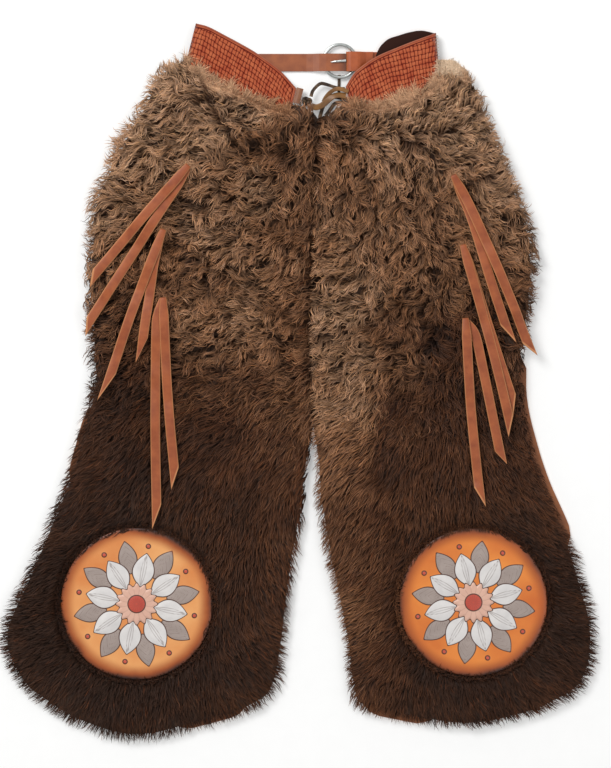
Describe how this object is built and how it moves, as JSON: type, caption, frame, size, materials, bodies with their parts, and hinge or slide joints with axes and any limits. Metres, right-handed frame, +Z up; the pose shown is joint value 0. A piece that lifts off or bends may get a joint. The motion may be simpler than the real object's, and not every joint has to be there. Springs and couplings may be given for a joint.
{
  "type": "leather chaps",
  "caption": "Hair-on-hide leather chaps with a stamped belt, saddle ties and round plaques, laid flat with the front up.",
  "frame": {"origin": "on the surface the chaps lie on, under the middle of their box", "axes": "+Z up out of the front of the chaps, +Y from the hems to the waist, +X to the right as seen from the front"},
  "size_m": [0.7908, 0.9524, 0.0461],
  "materials": {
    "back_leather": "smooth tan",
    "hair_on_hide": "shaggy brown hair",
    "plaque_leather": "tooled and painted",
    "belt_leather": "basket-weave stamped russet",
    "strap_leather": "smooth brown",
    "tie_leather": "smooth orange-brown",
    "dark_lace": "dark waxed",
    "nickel": "worn nickel plate"
  },
  "bodies": {
    "root": {"leg_back_left": "back_leather", "leg_back_right": "back_leather", "leg_fur_left": "hair_on_hide", "leg_fur_right": "hair_on_hide", "medallion_left": "plaque_leather", "medallion_right": "plaque_leather", "belt_left": "belt_leather", "belt_right": "belt_leather", "belt_end_left": "tie_leather", "strap_billet": "strap_leather", "strap_chape": "strap_leather", "buckle_ring": "nickel", "buckle_prong": "nickel", "lace_arch": "dark_lace", "lace_band": "tie_leather", "lace_end_left": "dark_lace", "lace_end_right": "dark_lace", "lace_knot": "dark_lace", "lace_tail": "dark_lace", "tie_left_top": "tie_leather", "tie_left_middle": "tie_leather", "tie_left_low": "tie_leather", "tie_right_top": "tie_leather", "tie_right_middle": "tie_leather", "tie_right_low": "tie_leather"}
  },
  "joints": []
}
